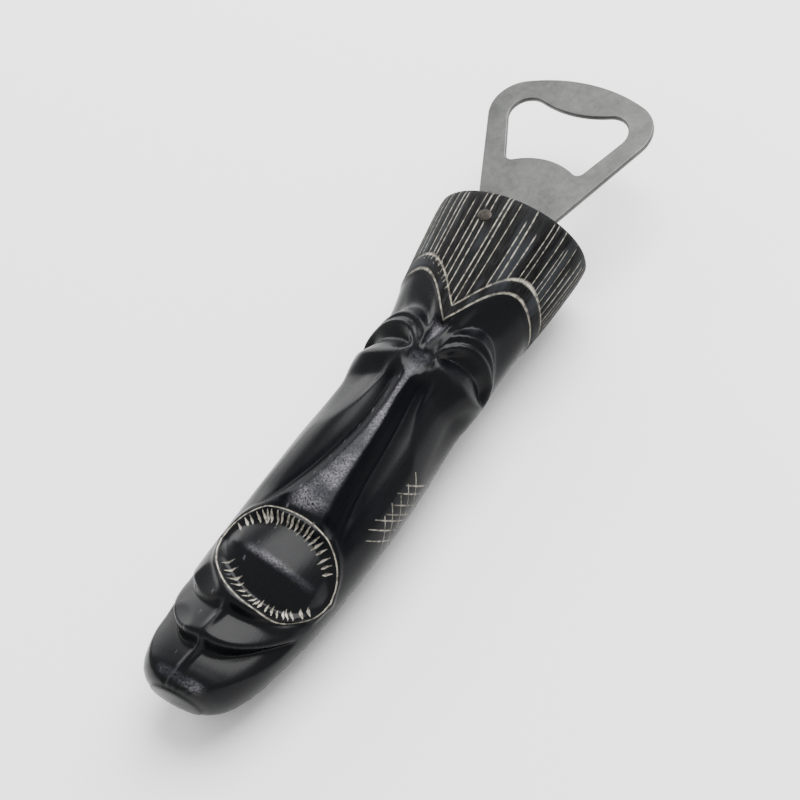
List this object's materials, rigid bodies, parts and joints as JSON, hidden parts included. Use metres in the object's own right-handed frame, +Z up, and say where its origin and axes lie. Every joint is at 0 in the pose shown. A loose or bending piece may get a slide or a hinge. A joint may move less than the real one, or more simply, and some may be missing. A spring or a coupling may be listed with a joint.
{
  "type": "bottle opener",
  "caption": "Hand-held crown-cap opener: stamped steel plate with a lobed cap opening, its tang glued and pinned into a carved black handle with a stylised mask face.",
  "frame": {"origin": "centre of the bounding box in plan, on the surface that the opener lies on, face up", "axes": "+Y along the opener from the chin to the plate's tip, +Z up out of the face, +X across the plate to the right seen from above with the tip away"},
  "size_m": [0.0416, 0.1646, 0.0332],
  "materials": {
    "carved_handle": "carved, dyed black and polished",
    "stainless_plate": "satin, rubbed edges",
    "pin_metal": "tarnished, dressed flush",
    "adhesive": "set epoxy"
  },
  "bodies": {
    "root": {"handle": "carved_handle", "opener_plate": "stainless_plate", "cross_pin": "pin_metal", "slot_adhesive": "adhesive"}
  },
  "joints": []
}
